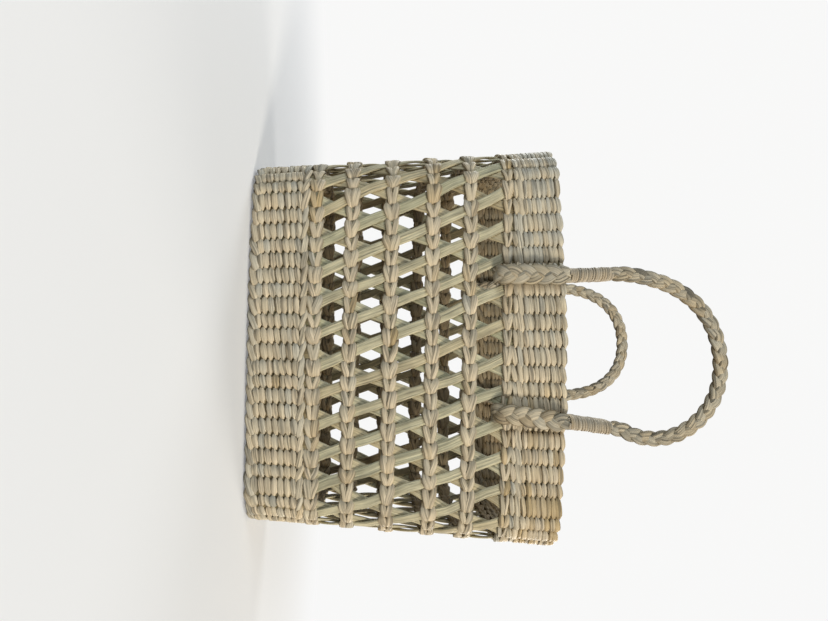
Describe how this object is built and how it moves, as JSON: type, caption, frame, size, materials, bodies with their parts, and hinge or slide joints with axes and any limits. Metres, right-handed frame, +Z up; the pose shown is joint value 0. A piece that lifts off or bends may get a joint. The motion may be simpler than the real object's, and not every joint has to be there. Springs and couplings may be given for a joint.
{
  "type": "reed market bag",
  "caption": "Open-topped market bag twined from reed, with closed bands at base and rim, an openwork middle of crossing reeds, and plaited carrying handles.",
  "frame": {"origin": "middle of the base, on the surface the bag stands on", "axes": "+X to the right of the front, +Y from the front to the back, +Z up"},
  "size_m": [0.3814, 0.2108, 0.4407],
  "materials": {
    "reed_weave": "dry reed, matt",
    "reed_plait": "dry plaited reed, matt",
    "reed_whipping": "thin wound reed, matt"
  },
  "bodies": {
    "bag": {"woven_body": "reed_weave", "front_left_loop": "reed_plait", "front_right_loop": "reed_plait", "back_left_loop": "reed_plait", "back_right_loop": "reed_plait", "front_left_whipping": "reed_whipping", "front_right_whipping": "reed_whipping", "back_left_whipping": "reed_whipping", "back_right_whipping": "reed_whipping"},
    "front_handle": {"front_bow": "reed_plait"},
    "back_handle": {"back_bow": "reed_plait"}
  },
  "joints": [
    {"name": "front_handle_swing", "type": "hinge", "parent": "bag", "child": "front_handle", "pos_m": [0, -0.09605, 0.3377], "axis": [1, 0, 0], "range_deg": [-60, 90]},
    {"name": "back_handle_swing", "type": "hinge", "parent": "bag", "child": "back_handle", "pos_m": [0, 0.09605, 0.3377], "axis": [-1, 0, 0], "range_deg": [-60, 90]}
  ]
}
